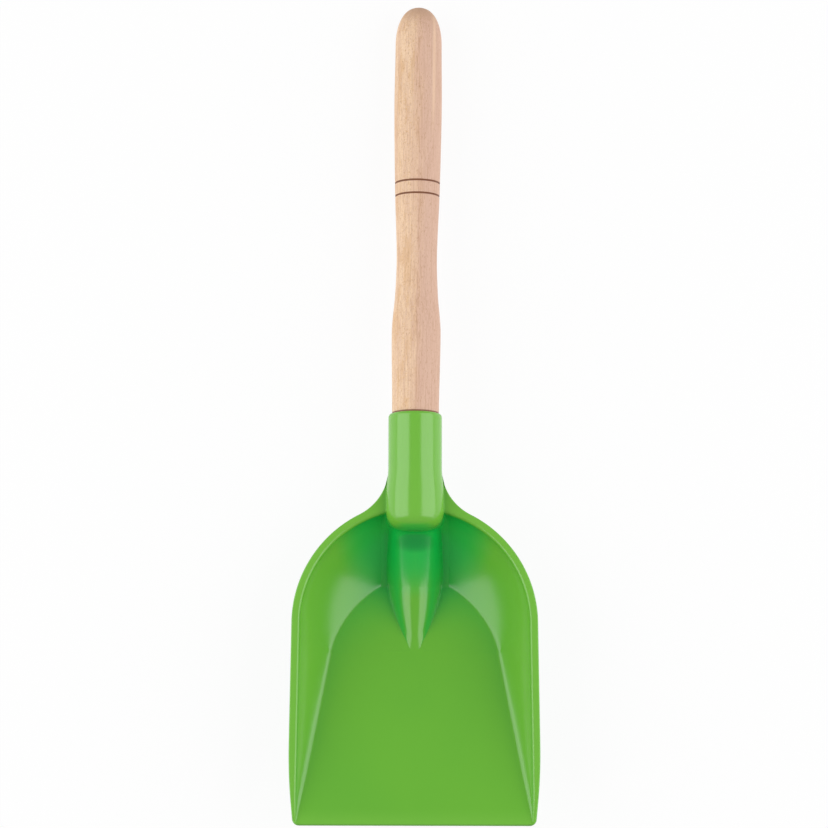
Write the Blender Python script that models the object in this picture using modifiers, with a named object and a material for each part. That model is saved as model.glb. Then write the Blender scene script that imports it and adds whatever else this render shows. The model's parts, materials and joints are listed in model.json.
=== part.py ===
"""Sand shovel: a moulded scoop with a socket, a turned wooden handle and the screw that joins them.

The shovel is drawn in a drawing frame: the rim of the scoop lies in the plane z = 0, the front
edge at y = 0, and the handle runs along +Y. The scoop opens towards +Z. At the end an empty lays
the whole shovel on its back, on the heel of the scoop and the end of the handle, with the ground
at z = 0 and the origin below the middle of the shovel.
"""

import math

import bmesh
import bpy
import numpy as np

# Outline of the scoop: a round shoulder about the point (0, SHOULDER_Y), then sides that flare a little
SHOULDER_Y = 0.0995
SHOULDER_RADIUS = 0.0612
WIDEST_Y = 0.0270
SIDE_FLARE = 0.0011
FRONT_DRAW_IN = 0.0029
WIDEST_ROUNDING = 0.0011
CORNER_RADIUS = 0.0024
NECK_RADIUS = 0.0250

# Opening, walls and floor of the scoop
RIM_WIDTH = 0.0042
CORNER_RIM = 0.0012
FLANGE_SHARE = 0.3
WALL = 0.0020
FLOOR_ANGLE = math.radians(15.0)
WALL_DRAFT = math.radians(32.0)
WALL_ROUNDNESS = 0.45
FOLD_LEAD = 0.0115
REAR_WALL_RUN = 0.0293

# Socket for the handle: a tube behind the scoop, whose closed nose stands inside it
SOCKET_WALL = 0.0013
TUBE_LENGTH = 0.0281
SOCKET_LENGTH = 0.0598
MOUTH_ROUNDING = 0.0008
NOSE_LENGTH = 0.0100
NOSE_BLUNTNESS = 2.5
SEAT_CLEARANCE = 0.0003
BORE_END_WALL = 0.0020

# Ridge that runs from the socket's nose down to the floor, and the skirt that carries the nose down
RIDGE_LENGTH = 0.0535
RIDGE_TAPER = 0.0400
RIDGE_PROUD = 0.0005
RIDGE_LAP = 0.0018
RIDGE_SINK = 0.0015
RIDGE_FILLET = 0.0026
SKIRT_DRAFT = math.radians(3.0)

# Turned handle, run by run from the socket's mouth to its domed tip, with the radius at the end of each run
SEAT_RADIUS = 0.0117
MOUTH_TO_SWELL = 0.0412
SWELL_RADIUS = 0.01227
SWELL_TO_FOOT = 0.0210
FOOT_RADIUS = 0.01067
FOOT_TO_WAIST = 0.0160
WAIST_RADIUS = 0.01013
WAIST_TO_GROOVES = 0.0365
GROOVED_RADIUS = 0.01128
GROOVES_TO_GRIP = 0.0465
GRIP_RADIUS = 0.01206
GRIP_TO_DOME = 0.0293
DOME_RADIUS = 0.01168
DOME_LENGTH = 0.0200
DOME_BLUNTNESS = 2.25
GROOVE_SPACING = 0.0066
GROOVE_WIDTH = 0.0010
GROOVE_DEPTH = 0.0004
END_CHAMFER = 0.0010
HANDLE_LEAN = math.radians(0.35)

# Screw through the underside of the socket into the handle
MOUTH_TO_SCREW = 0.0168
SHANK_RADIUS = 0.0014
SHANK_LENGTH = 0.0110
POINT_LENGTH = 0.0025
HEAD_RADIUS = 0.0028
HEAD_HEIGHT = 0.0018
HEAD_ROUNDING = 0.0006
SLOT_WIDTH = 0.0008
SLOT_DEPTH = 0.0007
SCREW_CLEARANCE = 0.0003

# How finely the shapes are divided
CORNER_STEPS = 3
SIDE_STEPS = 11
SHOULDER_STEPS = 16
NECK_STEPS = 5
WALL_STEPS = 12
FLOOR_STEPS = 4
RIDGE_STEPS = 8
RIDGE_EASING = 1.5
FOLD_ROUNDS = 20
DOME_STEPS = 7
HANDLE_STEPS = 26
ROUND_STEPS = 40
SCREW_STEPS = 16
GUIDE_START = 0.25
MERGE = 0.00001

# Places and sizes that follow from those above
SOCKET_RADIUS = SEAT_RADIUS + SEAT_CLEARANCE + SOCKET_WALL
OPENING_RADIUS = SHOULDER_RADIUS - RIM_WIDTH
NECK_X = SOCKET_RADIUS + NECK_RADIUS
NECK_Y = SHOULDER_Y + math.sqrt((SHOULDER_RADIUS + NECK_RADIUS) ** 2 - NECK_X**2)
MOUTH_Y = NECK_Y + TUBE_LENGTH
NOSE_Y = MOUTH_Y - SOCKET_LENGTH
SEAT_END_Y = NOSE_Y + BORE_END_WALL + NOSE_LENGTH + SEAT_CLEARANCE
SCREW_Y = MOUTH_Y - MOUTH_TO_SCREW
RIDGE_TIP_Y = NOSE_Y - RIDGE_LENGTH
RIDGE_HALF = SOCKET_RADIUS + RIDGE_PROUD
BESIDE_RIDGE = RIDGE_HALF + RIDGE_FILLET
RIDGE_TOP_Z = RIDGE_LAP - SOCKET_RADIUS
FOLD_TURN_Y = SHOULDER_Y - FOLD_LEAD
FOLD_REAR_Y = SHOULDER_Y + OPENING_RADIUS - REAR_WALL_RUN
SWELL_Y = MOUTH_Y + MOUTH_TO_SWELL
FOOT_Y = SWELL_Y + SWELL_TO_FOOT
WAIST_Y = FOOT_Y + FOOT_TO_WAIST
GROOVED_Y = WAIST_Y + WAIST_TO_GROOVES
GRIP_Y = GROOVED_Y + GROOVES_TO_GRIP
DOME_Y = GRIP_Y + GRIP_TO_DOME


def material(name, colour, roughness, metallic=0.0):
    """A Principled material of one colour."""
    made = bpy.data.materials.new(name)
    made.use_nodes = True
    shader = made.node_tree.nodes["Principled BSDF"]
    shader.inputs["Base Color"].default_value = (*colour, 1.0)
    shader.inputs["Roughness"].default_value = roughness
    shader.inputs["Metallic"].default_value = metallic
    made.diffuse_color = (*colour, 1.0)
    return made


def collection(name):
    """A collection in the scene."""
    made = bpy.data.collections.new(name)
    bpy.context.scene.collection.children.link(made)
    return made


def add_object(name, mesh, group, parent):
    """An object with this mesh, or an empty where the mesh is None."""
    made = bpy.data.objects.new(name, mesh)
    group.objects.link(made)
    made.parent = parent
    return made


def hide_cutter(cutter):
    """A cutter is drawn as wires and isn't part of the shovel."""
    cutter.hide_render = True
    cutter.display_type = "WIRE"
    return cutter


def boolean(target, other, operation):
    """Joins the other shape to the target, or cuts it out."""
    change = target.modifiers.new(other.name, "BOOLEAN")
    change.operation = operation
    change.object = other


def turned(name, profile, group, parent, steps=ROUND_STEPS):
    """A round piece about the drawing frame's Y axis.

    The profile lists (place along Y, radius), far end first. It starts half a step round, so that
    none of its edges lies in the plane of the rim.
    """
    mesh = bpy.data.meshes.new(name)
    start = math.pi / steps
    points = [(radius * math.cos(start), radius * math.sin(start), along) for along, radius in profile]
    mesh.from_pydata(points, [(i, i + 1) for i in range(len(points) - 1)], [])
    made = add_object(name, mesh, group, parent)
    made.rotation_euler.x = -math.pi / 2
    screw = made.modifiers.new("Turn", "SCREW")
    screw.steps = steps
    screw.render_steps = steps
    screw.use_merge_vertices = True
    screw.merge_threshold = MERGE
    screw.use_smooth_shade = True
    return made


def dome(end, length, radius, bluntness, outward):
    """A blunt round end: (place, radius) from its tip at end, back along the axis by length."""
    share = np.sin(np.linspace(0, math.pi / 2, DOME_STEPS + 1))
    radii = radius * share
    back = length * (1 - (1 - share**bluntness) ** (1 / bluntness))
    return [(end - outward * b, r) for b, r in zip(back.tolist(), radii.tolist())]


def smooth_min(a, b, reach):
    """The smaller of a and b, with the corner between them rounded over reach."""
    near = np.clip(1 - np.abs(a - b) / reach, 0, 1)
    return np.minimum(a, b) - reach / 4 * near**2


def floor_height(y):
    """The flat floor falls from the front edge towards the back."""
    return -math.tan(FLOOR_ANGLE) * y


def outer_half(y):
    """Half the outer width beside the straight sides, widest near the front and drawn in at the edge."""
    widest = SHOULDER_RADIUS + SIDE_FLARE
    back = widest - SIDE_FLARE / (SHOULDER_Y - WIDEST_Y) * (y - WIDEST_Y)
    front = widest + FRONT_DRAW_IN / WIDEST_Y * (y - WIDEST_Y)
    return smooth_min(back, front, WIDEST_ROUNDING)


def opening_half(y):
    """Half the width of the opening between the straight sides."""
    return OPENING_RADIUS + SIDE_FLARE / (SHOULDER_Y - WIDEST_Y) * (SHOULDER_Y - y)


def fold_half(y):
    """Half the width of the floor where the drafted side walls meet it."""
    return opening_half(y) + math.tan(WALL_DRAFT) * floor_height(y)


def rear_fold(turn):
    """The fold behind FOLD_TURN_Y, where the floor narrows and its half width turns in by a cosine."""
    along = FOLD_TURN_Y + (FOLD_REAR_Y - FOLD_TURN_Y) * np.sin(turn)
    return np.column_stack([fold_half(along) * np.cos(turn), along])


def scoop_columns():
    """Plan of the right half in columns, from the front corner, round the shoulder, to the socket.

    Gives the outer edge, the opening edge, the floor's fold and the direction straight out. A hollow
    round about (NECK_X, NECK_Y) leads the outer edge from the shoulder into the side of the socket.
    The last column comes down the rear wall beside the ridge.
    """
    corner = np.linspace(0, math.pi / 2, CORNER_STEPS + 1)
    corner_x = outer_half(CORNER_RADIUS) - CORNER_RADIUS * (1 - np.sin(corner))
    corner_y = CORNER_RADIUS * (1 - np.cos(corner))
    side_y = np.linspace(CORNER_RADIUS, SHOULDER_Y, SIDE_STEPS + 1)[1:]
    straight_x = np.concatenate([corner_x, outer_half(side_y)])
    straight_y = np.concatenate([corner_y, side_y])

    neck_turn = math.atan2(NECK_Y - SHOULDER_Y, NECK_X)
    opening_turn = math.acos(BESIDE_RIDGE / OPENING_RADIUS)
    fold_turn = opening_turn
    for _ in range(FOLD_ROUNDS):
        along = FOLD_TURN_Y + (FOLD_REAR_Y - FOLD_TURN_Y) * math.sin(fold_turn)
        fold_turn = math.acos(BESIDE_RIDGE / fold_half(along))
    shoulder = np.linspace(0, neck_turn, SHOULDER_STEPS + 1)[1:]
    neck = np.linspace(0, 1, NECK_STEPS + 1)[1:]
    neck_angle = math.pi + neck_turn * (1 - neck)
    turn = np.concatenate([shoulder, neck_turn + (opening_turn - neck_turn) * neck])
    round_the_back = np.column_stack([np.cos(turn), np.sin(turn)])
    straight_out = np.column_stack([np.ones(len(straight_y)), np.zeros(len(straight_y))])

    outer = np.concatenate([
        np.column_stack([straight_x, straight_y]),
        (0, SHOULDER_Y) + SHOULDER_RADIUS * round_the_back[:SHOULDER_STEPS],
        (NECK_X, NECK_Y) + NECK_RADIUS * np.column_stack([np.cos(neck_angle), np.sin(neck_angle)]),
    ])
    open_x = np.minimum(opening_half(straight_y), straight_x - CORNER_RIM)
    opening = np.concatenate([
        np.column_stack([open_x, straight_y]),
        (0, SHOULDER_Y) + OPENING_RADIUS * round_the_back,
    ])
    front_y = straight_y * FOLD_TURN_Y / SHOULDER_Y
    front_x = open_x + math.tan(WALL_DRAFT) * floor_height(front_y)
    fold = np.concatenate([
        np.column_stack([front_x, front_y]),
        rear_fold(turn * fold_turn / opening_turn),
    ])
    return outer, opening, fold, np.concatenate([straight_out, round_the_back])


def ridge_height(x, y, inset):
    """Top of the ridge, an arch that narrows and sinks from the nose into the floor, less an inset."""
    rise = RIDGE_TOP_Z - floor_height(RIDGE_TIP_Y)
    crest = floor_height(RIDGE_TIP_Y) + rise * (y - RIDGE_TIP_Y) / RIDGE_LENGTH
    hidden = RIDGE_FILLET * RIDGE_LENGTH / (RIDGE_TOP_Z - floor_height(NOSE_Y))
    taper = np.clip((y - RIDGE_TIP_Y + hidden) / RIDGE_TAPER, 0, 1)
    half = np.maximum(RIDGE_HALF * np.sin(math.pi / 2 * taper) - inset, MERGE)
    share = np.abs(x) / half
    arch = 1 - np.sqrt(1 - np.minimum(share, 1) ** 2) + np.maximum(share - 1, 0)
    height = crest - np.maximum(crest - floor_height(y) + RIDGE_SINK, MERGE) * arch
    return np.where(half > MERGE, height, floor_height(y) - RIDGE_HALF) - inset


def skirt_height(x, y, inset):
    """The socket's sides and nose carried down with a little draft, less an inset.

    The nose's outline is a superellipse ahead of the straight sides. Inside it the skirt reaches the
    height of the socket's axis.
    """
    ahead = np.maximum(NOSE_Y + NOSE_LENGTH - y, 0) / NOSE_LENGTH
    aside = np.abs(x) / SOCKET_RADIUS
    ring = (aside**NOSE_BLUNTNESS + ahead**NOSE_BLUNTNESS) ** (1 / NOSE_BLUNTNESS)
    beyond = (ring - 1) * SOCKET_RADIUS + inset
    return -np.maximum(beyond, 0) / math.tan(SKIRT_DRAFT) - inset


def raised(points, inset):
    """These points of the plain scoop, lifted where the ridge or the skirt is higher."""
    x, y, height = points[..., 0], points[..., 1], points[..., 2]
    ridge = ridge_height(x, y, inset)
    skirt = skirt_height(x, y, inset)
    height = -smooth_min(-height, -ridge, RIDGE_FILLET)
    height = -smooth_min(-height, -skirt, RIDGE_FILLET)
    return np.stack([x, y, height], axis=-1)


def scoop_patches(outer, opening, fold, lower, inset):
    """Two grids of points of one side of the shell: the right side, then the strip along the middle.

    A column of the side runs from the outer edge over the wall, which bends into the floor at its
    fold, to a guide line beside the ridge. The strip runs from the front edge along the guide line
    and up the last column to the outer edge. Its rows go across to the middle, where those of the
    rear wall bow back as the opening edge does.
    """
    depth = floor_height(fold[:, 1]) - inset / math.cos(FLOOR_ANGLE)
    rings = [np.column_stack([outer, np.full(len(outer), lower)])]
    inward = 1 - np.cos(np.linspace(0, math.pi / 2, WALL_STEPS + 1))
    for share in inward:
        cove = math.sqrt(1 - (1 - share) ** 2)
        down = (1 - WALL_ROUNDNESS) * share + WALL_ROUNDNESS * cove
        plan = opening + (fold - opening) * share
        rings.append(np.column_stack([plan, lower + (depth - lower) * down]))

    corner_x, corner_y = fold[-1]
    along = np.clip((fold[:, 1] - RIDGE_TIP_Y) / (corner_y - RIDGE_TIP_Y), GUIDE_START, 1)
    guide = corner_x * np.sqrt(along)
    for step in range(1, FLOOR_STEPS + 1):
        x = fold[:, 0] + (guide - fold[:, 0]) * step / FLOOR_STEPS
        rings.append(np.column_stack([x, fold[:, 1], depth]))
    side = np.array(rings)

    border = np.concatenate([side[-1], side[WALL_STEPS::-1, -1]])
    bow = np.concatenate([np.zeros(len(fold)), 1 - inward[::-1][1:], [0.0]])
    across = 1 - (np.arange(RIDGE_STEPS + 1) / RIDGE_STEPS) ** RIDGE_EASING
    x = border[:, :1] * across
    radius = np.linalg.norm(opening[-1] - (0, SHOULDER_Y))
    behind = np.sqrt(radius**2 - x**2) - np.sqrt(radius**2 - border[:, :1] ** 2)
    middle = np.stack([x, border[:, 1:2] + bow[:, None] * behind, border[:, 2:] + 0 * x], axis=-1)
    return raised(side, inset), raised(middle, inset)


def border_line(side, middle):
    """The edge of the right half, from the middle of the front edge to the middle of the neck."""
    front = np.concatenate([middle[0, ::-1], side[-2::-1, 0]])
    return np.concatenate([front, side[0, 1:], middle[-1, 1:]])


def add_grid(shape, points):
    """Adds the faces of a grid whose corners are given as an array of rows."""
    rows, columns = points.shape[:2]
    grid = bmesh.ops.create_grid(shape, x_segments=columns - 1, y_segments=rows - 1, size=1)
    for vertex, place in zip(grid["verts"], points.reshape(-1, 3).tolist()):
        vertex.co = place


def add_scoop(group, parent):
    """The scoop's shell: the right half's upper side, underside and edges, mirrored to the left.

    The underside keeps the wall's thickness from the upper side, and at least FLANGE_SHARE of the
    rim's width as a flat flange, also where the rim narrows at the front corners.
    """
    outer, opening, fold, outward = scoop_columns()
    rim = np.linalg.norm(outer - opening, axis=1)
    wall_out = np.minimum(WALL, rim * (1 - FLANGE_SHARE))
    wall_foot = math.atan((1 - WALL_ROUNDNESS) / math.tan(WALL_DRAFT))
    under_opening = opening + outward * wall_out[:, None]
    under_fold = fold + outward * (wall_out * math.tan(wall_foot / 2))[:, None]

    upper = scoop_patches(outer, opening, fold, 0.0, 0.0)
    lower = scoop_patches(outer, under_opening, under_fold, -WALL, WALL)
    shape = bmesh.new()
    for patch in (*upper, *lower):
        add_grid(shape, patch)
    add_grid(shape, np.stack([border_line(*upper), border_line(*lower)]))
    bmesh.ops.remove_doubles(shape, verts=shape.verts, dist=MERGE)
    bmesh.ops.recalc_face_normals(shape, faces=shape.faces)
    mesh = bpy.data.meshes.new("blade")
    shape.to_mesh(mesh)
    shape.free()
    mesh.shade_smooth()
    scoop = add_object("blade", mesh, group, parent)
    mirror = scoop.modifiers.new("Left half", "MIRROR")
    mirror.merge_threshold = MERGE
    return scoop


def add_socket(cutters, parent):
    """The socket outside and its bore, both with a domed end. The bore follows the handle's seat."""
    rounding = np.linspace(0, math.pi / 2, 3)
    mouth = [
        (MOUTH_Y - MOUTH_ROUNDING * (1 - math.cos(a)), SOCKET_RADIUS - MOUTH_ROUNDING * (1 - math.sin(a)))
        for a in rounding
    ]
    nose = dome(NOSE_Y, NOSE_LENGTH, SOCKET_RADIUS, NOSE_BLUNTNESS, -1)
    outside = turned("socket", [(MOUTH_Y, 0.0)] + mouth + nose[::-1], cutters, parent)

    bore_radius = SEAT_RADIUS + SEAT_CLEARANCE
    end = dome(NOSE_Y + BORE_END_WALL, NOSE_LENGTH, bore_radius, NOSE_BLUNTNESS, -1)
    past_mouth = MOUTH_Y + SOCKET_WALL
    bore = turned(
        "bore", [(past_mouth, 0.0), (past_mouth, bore_radius)] + end[::-1], cutters, parent
    )
    return hide_cutter(outside), hide_cutter(bore)


def handle_radius(y):
    """The handle's radius between its seat and its domed tip, eased from each station to the next."""
    stations = (
        (MOUTH_Y, SEAT_RADIUS),
        (SWELL_Y, SWELL_RADIUS),
        (FOOT_Y, FOOT_RADIUS),
        (WAIST_Y, WAIST_RADIUS),
        (GROOVED_Y, GROOVED_RADIUS),
        (GRIP_Y, GRIP_RADIUS),
        (DOME_Y, DOME_RADIUS),
    )
    places = np.array([place for place, radius in stations])
    radii = np.array([radius for place, radius in stations])
    slopes = np.diff(radii) / np.diff(places)
    eased = np.zeros(len(places))
    same_way = slopes[:-1] * slopes[1:] > 0
    harmonic = 2 * slopes[:-1] * slopes[1:] / np.where(same_way, slopes[:-1] + slopes[1:], 1)
    eased[1:-1] = np.where(same_way, harmonic, 0)
    left = np.clip(np.searchsorted(places, y) - 1, 0, len(slopes) - 1)
    length = np.diff(places)[left]
    t = np.clip((y - places[left]) / length, 0, 1)
    return (
        radii[left] * (1 + 2 * t) * (1 - t) ** 2
        + radii[left + 1] * (3 - 2 * t) * t**2
        + eased[left] * length * t * (1 - t) ** 2
        - eased[left + 1] * length * t**2 * (1 - t)
    )


def handle_profile():
    """The handle from its tip to its end in the socket, with the two grooves."""
    tip = dome(DOME_Y + DOME_LENGTH, DOME_LENGTH, DOME_RADIUS, DOME_BLUNTNESS, 1)
    body = np.linspace(DOME_Y, MOUTH_Y, HANDLE_STEPS + 1)[1:]
    grooves = [GROOVED_Y - GROOVE_SPACING / 2, GROOVED_Y + GROOVE_SPACING / 2]
    apart = [min(abs(place - groove) for groove in grooves) for place in body]
    plain = [place for place, far in zip(body.tolist(), apart) if far > GROOVE_WIDTH]
    places = [(place, handle_radius(place)) for place in plain]
    for groove in grooves:
        for side in (-1, 1):
            edge = groove + side * GROOVE_WIDTH / 2
            places.append((edge, handle_radius(edge)))
        places.append((groove, handle_radius(groove) - GROOVE_DEPTH))
    places.sort(reverse=True)
    end = [
        (SEAT_END_Y + END_CHAMFER, SEAT_RADIUS),
        (SEAT_END_Y, SEAT_RADIUS - END_CHAMFER),
        (SEAT_END_Y, 0.0),
    ]
    return tip + places + end


def add_screw(group, cutters, parent):
    """A slotted round-head screw, pointing up into the handle, and the cutter for its holes."""
    under_head = -(SOCKET_RADIUS + SCREW_CLEARANCE)
    top = under_head + SHANK_LENGTH
    head_bottom = under_head - HEAD_HEIGHT
    rounding = np.linspace(0, math.pi / 2, 4)
    head = [
        (HEAD_RADIUS - HEAD_ROUNDING * (1 - math.cos(a)), head_bottom + HEAD_ROUNDING * (1 - math.sin(a)))
        for a in rounding
    ]
    profile = [
        (0.0, top),
        (SHANK_RADIUS, top - POINT_LENGTH),
        (SHANK_RADIUS, under_head),
        (HEAD_RADIUS, under_head),
        *head,
        (0.0, head_bottom),
    ]
    screw = turned(
        "fixing_screw", [(height, radius) for radius, height in profile], group, parent, SCREW_STEPS
    )
    screw.rotation_euler.x = 0
    screw.location.y = SCREW_Y

    slot_mesh = bpy.data.meshes.new("screw_slot")
    slot_shape = bmesh.new()
    bmesh.ops.create_cube(slot_shape, size=1)
    bmesh.ops.scale(slot_shape, vec=(3 * HEAD_RADIUS, SLOT_WIDTH, 2 * SLOT_DEPTH), verts=slot_shape.verts)
    slot_shape.to_mesh(slot_mesh)
    slot_shape.free()
    slot = hide_cutter(add_object("screw_slot", slot_mesh, cutters, parent))
    slot.location = (0, SCREW_Y, head_bottom)
    boolean(screw, slot, "DIFFERENCE")

    hole_radius = SHANK_RADIUS + SCREW_CLEARANCE
    hole_top = top + SCREW_CLEARANCE
    hole = turned(
        "screw_hole",
        [
            (hole_top, 0.0),
            (hole_top, hole_radius),
            (under_head - HEAD_HEIGHT, hole_radius),
            (under_head - HEAD_HEIGHT, 0.0),
        ],
        cutters,
        parent,
        SCREW_STEPS,
    )
    hole.rotation_euler.x = 0
    hole.location.y = SCREW_Y
    return screw, hide_cutter(hole)


def world_points(pieces):
    """The finished corners of these pieces, as an array."""
    bpy.context.view_layer.update()
    graph = bpy.context.evaluated_depsgraph_get()
    found = []
    for piece in pieces:
        mesh = piece.evaluated_get(graph).to_mesh()
        corners = np.empty(len(mesh.vertices) * 3)
        mesh.vertices.foreach_get("co", corners)
        place = np.array(piece.evaluated_get(graph).matrix_world)
        found.append(corners.reshape(-1, 3) @ place[:3, :3].T + place[:3, 3])
    return np.concatenate(found)


def lay_on_back(shovel, scoop, handle):
    """Tips the shovel until the scoop's heel and the handle touch the ground together."""
    heel = world_points([scoop])[:, 1:]
    grip = world_points([handle])[:, 1:]
    low, high = 0.0, math.radians(30.0)
    for _ in range(40):
        tip = (low + high) / 2
        down = np.array([-math.sin(tip), math.cos(tip)])
        if (heel @ down).min() < (grip @ down).min():
            low = tip
        else:
            high = tip
    shovel.rotation_euler.x = -tip
    laid = world_points([scoop, handle])
    lowest, highest = laid.min(0), laid.max(0)
    shovel.location = (0, -(lowest[1] + highest[1]) / 2, -lowest[2])


for old in list(bpy.data.objects):
    bpy.data.objects.remove(old)

parts = collection("sand_shovel")
cutters = collection("cutters")
shovel = add_object("shovel_rest", None, parts, None)
handle_axis = add_object("handle_axis", None, parts, shovel)
seat_middle = (SEAT_END_Y + MOUTH_Y) / 2
handle_axis.location.y = seat_middle
handle_axis.rotation_euler.z = -HANDLE_LEAN

green_plastic = material("green_plastic", (0.133, 0.440, 0.045), 0.30)
beech = material("beech", (0.800, 0.580, 0.390), 0.55)
zinc_steel = material("zinc_steel", (0.620, 0.620, 0.600), 0.35, 1.0)

blade = add_scoop(parts, shovel)
socket, bore = add_socket(cutters, shovel)
fixing_screw, screw_hole = add_screw(parts, cutters, shovel)
boolean(blade, socket, "UNION")
boolean(blade, bore, "DIFFERENCE")
boolean(blade, screw_hole, "DIFFERENCE")

handle = turned("handle", handle_profile(), parts, handle_axis)
handle.location.y = -seat_middle
boolean(handle, screw_hole, "DIFFERENCE")

for piece, finish in ((blade, green_plastic), (handle, beech), (fixing_screw, zinc_steel)):
    piece.data.materials.append(finish)
lay_on_back(shovel, blade, handle)
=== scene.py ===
import json
import math

import bmesh
import bpy
import numpy as np
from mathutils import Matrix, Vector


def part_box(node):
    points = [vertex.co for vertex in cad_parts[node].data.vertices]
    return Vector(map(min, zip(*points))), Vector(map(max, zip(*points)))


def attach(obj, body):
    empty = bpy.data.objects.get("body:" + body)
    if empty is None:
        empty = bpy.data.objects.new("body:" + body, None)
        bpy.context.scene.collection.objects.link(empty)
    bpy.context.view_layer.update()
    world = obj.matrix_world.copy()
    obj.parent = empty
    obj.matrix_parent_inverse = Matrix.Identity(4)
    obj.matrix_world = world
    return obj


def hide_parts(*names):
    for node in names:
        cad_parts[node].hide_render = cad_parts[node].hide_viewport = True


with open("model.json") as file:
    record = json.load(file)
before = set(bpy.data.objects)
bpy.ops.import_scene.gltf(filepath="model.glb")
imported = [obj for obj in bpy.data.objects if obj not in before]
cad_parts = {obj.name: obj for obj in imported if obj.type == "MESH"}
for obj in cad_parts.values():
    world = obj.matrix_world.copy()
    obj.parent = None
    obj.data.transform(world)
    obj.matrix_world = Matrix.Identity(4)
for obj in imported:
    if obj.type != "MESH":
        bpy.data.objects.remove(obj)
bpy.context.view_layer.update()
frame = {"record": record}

# Where the shovel lies. It is drawn with the rim of the scoop in the plane z = 0, the front edge at
# y = 0 and the handle along +Y, and then tipped back until the scoop's heel and the handle touch the
# ground. The tip follows from the flat face under the floor, which the record states.
FLOOR_ANGLE = math.radians(15.0)
WALL = 0.0020

under_floor = next(m for m in frame["record"]["mounts"] if m["name"] == "floor_underside")["axis"]
TIP = math.atan2(-under_floor[1], -under_floor[2]) - FLOOR_ANGLE
blade_low, blade_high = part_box("blade")
SHIFT = np.array([0.0, blade_low.y + WALL * math.sin(TIP), blade_high.z])


def laid(points):
    """Points of the drawing frame as the shovel lies: turned about X by minus the tip, then shifted."""
    x, y, z = np.moveaxis(np.asarray(points, float), -1, 0)
    turned_y = y * math.cos(TIP) + z * math.sin(TIP)
    turned_z = z * math.cos(TIP) - y * math.sin(TIP)
    return np.stack([x, turned_y, turned_z], axis=-1) + SHIFT


# Points of one piece that lie closer together than this are one point
WELD = 4e-7


def surface(name, grids):
    """One mesh object from grids of points, rows by columns by 3, with their common edges welded."""
    places, corners, first = [], [], 0
    for grid in grids:
        rows, columns = grid.shape[:2]
        number = first + np.arange(rows * columns).reshape(rows, columns)
        quads = [number[:-1, :-1], number[:-1, 1:], number[1:, 1:], number[1:, :-1]]
        corners.append(np.stack(quads, axis=-1).reshape(-1, 4))
        places.append(grid.reshape(-1, 3))
        first += rows * columns
    places, corners = np.concatenate(places), np.concatenate(corners)
    mesh = bpy.data.meshes.new(name)
    mesh.vertices.add(len(places))
    mesh.vertices.foreach_set("co", places.astype(np.float32).ravel())
    mesh.loops.add(corners.size)
    mesh.loops.foreach_set("vertex_index", corners.astype(np.int32).ravel())
    mesh.polygons.add(len(corners))
    mesh.polygons.foreach_set("loop_start", np.arange(0, corners.size, 4, dtype=np.int32))
    mesh.update(calc_edges=True)
    shape = bmesh.new()
    shape.from_mesh(mesh)
    bmesh.ops.remove_doubles(shape, verts=shape.verts, dist=WELD)
    bmesh.ops.dissolve_degenerate(shape, edges=shape.edges, dist=WELD)
    bmesh.ops.recalc_face_normals(shape, faces=shape.faces)
    shape.to_mesh(mesh)
    shape.free()
    made = bpy.data.objects.new(name, mesh)
    bpy.context.scene.collection.objects.link(made)
    return made


def turned(name, places, radii, around):
    """A round piece about the Y axis: each (place, radius) of its profile carried round a circle."""
    angle = np.linspace(0, 2 * math.pi, around + 1)
    x = radii[:, None] * np.cos(angle)
    z = radii[:, None] * np.sin(angle)
    y = np.repeat(places[:, None], around + 1, axis=1)
    return surface(name, [np.stack([x, y, z], axis=-1)])


def combine(target, other, operation):
    """Joins the other closed shape to the target, or cuts it out, and removes it."""
    change = target.modifiers.new(other.name, "BOOLEAN")
    change.operation = operation
    change.object = other
    change.solver = "MANIFOLD"
    graph = bpy.context.evaluated_depsgraph_get()
    result = bpy.data.meshes.new_from_object(target.evaluated_get(graph))
    result.materials.clear()
    target.modifiers.clear()
    target.data = result
    bpy.data.objects.remove(other)


def settle(piece, sharp_from):
    """Lays a finished piece down as the shovel lies, and shades it smooth up to an angle."""
    mesh = piece.data
    places = np.empty(len(mesh.vertices) * 3, np.float32)
    mesh.vertices.foreach_get("co", places)
    mesh.vertices.foreach_set("co", laid(places.reshape(-1, 3)).astype(np.float32).ravel())
    mesh.update()
    mesh.shade_smooth()
    mesh.set_sharp_from_angle(angle=math.radians(sharp_from))


class Field:
    """A socket of a material that takes part in ordinary sums, each of which adds a Math node."""

    def __init__(self, socket):
        self.socket = socket
        self.tree = socket.id_data

    def math(self, operation, *others, swap=False):
        """A Math node with this field first, or last where swap is set."""
        node = self.tree.nodes.new("ShaderNodeMath")
        node.operation = operation
        values = (*others, self) if swap else (self, *others)
        for entry, value in zip(node.inputs, values):
            if isinstance(value, Field):
                self.tree.links.new(value.socket, entry)
            else:
                entry.default_value = value
        return Field(node.outputs[0])

    def __add__(self, other):
        return self.math("ADD", other)

    def __sub__(self, other):
        return self.math("SUBTRACT", other)

    def __rsub__(self, other):
        return self.math("SUBTRACT", other, swap=True)

    def __mul__(self, other):
        return self.math("MULTIPLY", other)

    def __truediv__(self, other):
        return self.math("DIVIDE", other)

    def __abs__(self):
        return self.math("ABSOLUTE")

    def __pow__(self, other):
        return self.math("POWER", other)

    __radd__ = __add__
    __rmul__ = __mul__


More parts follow.
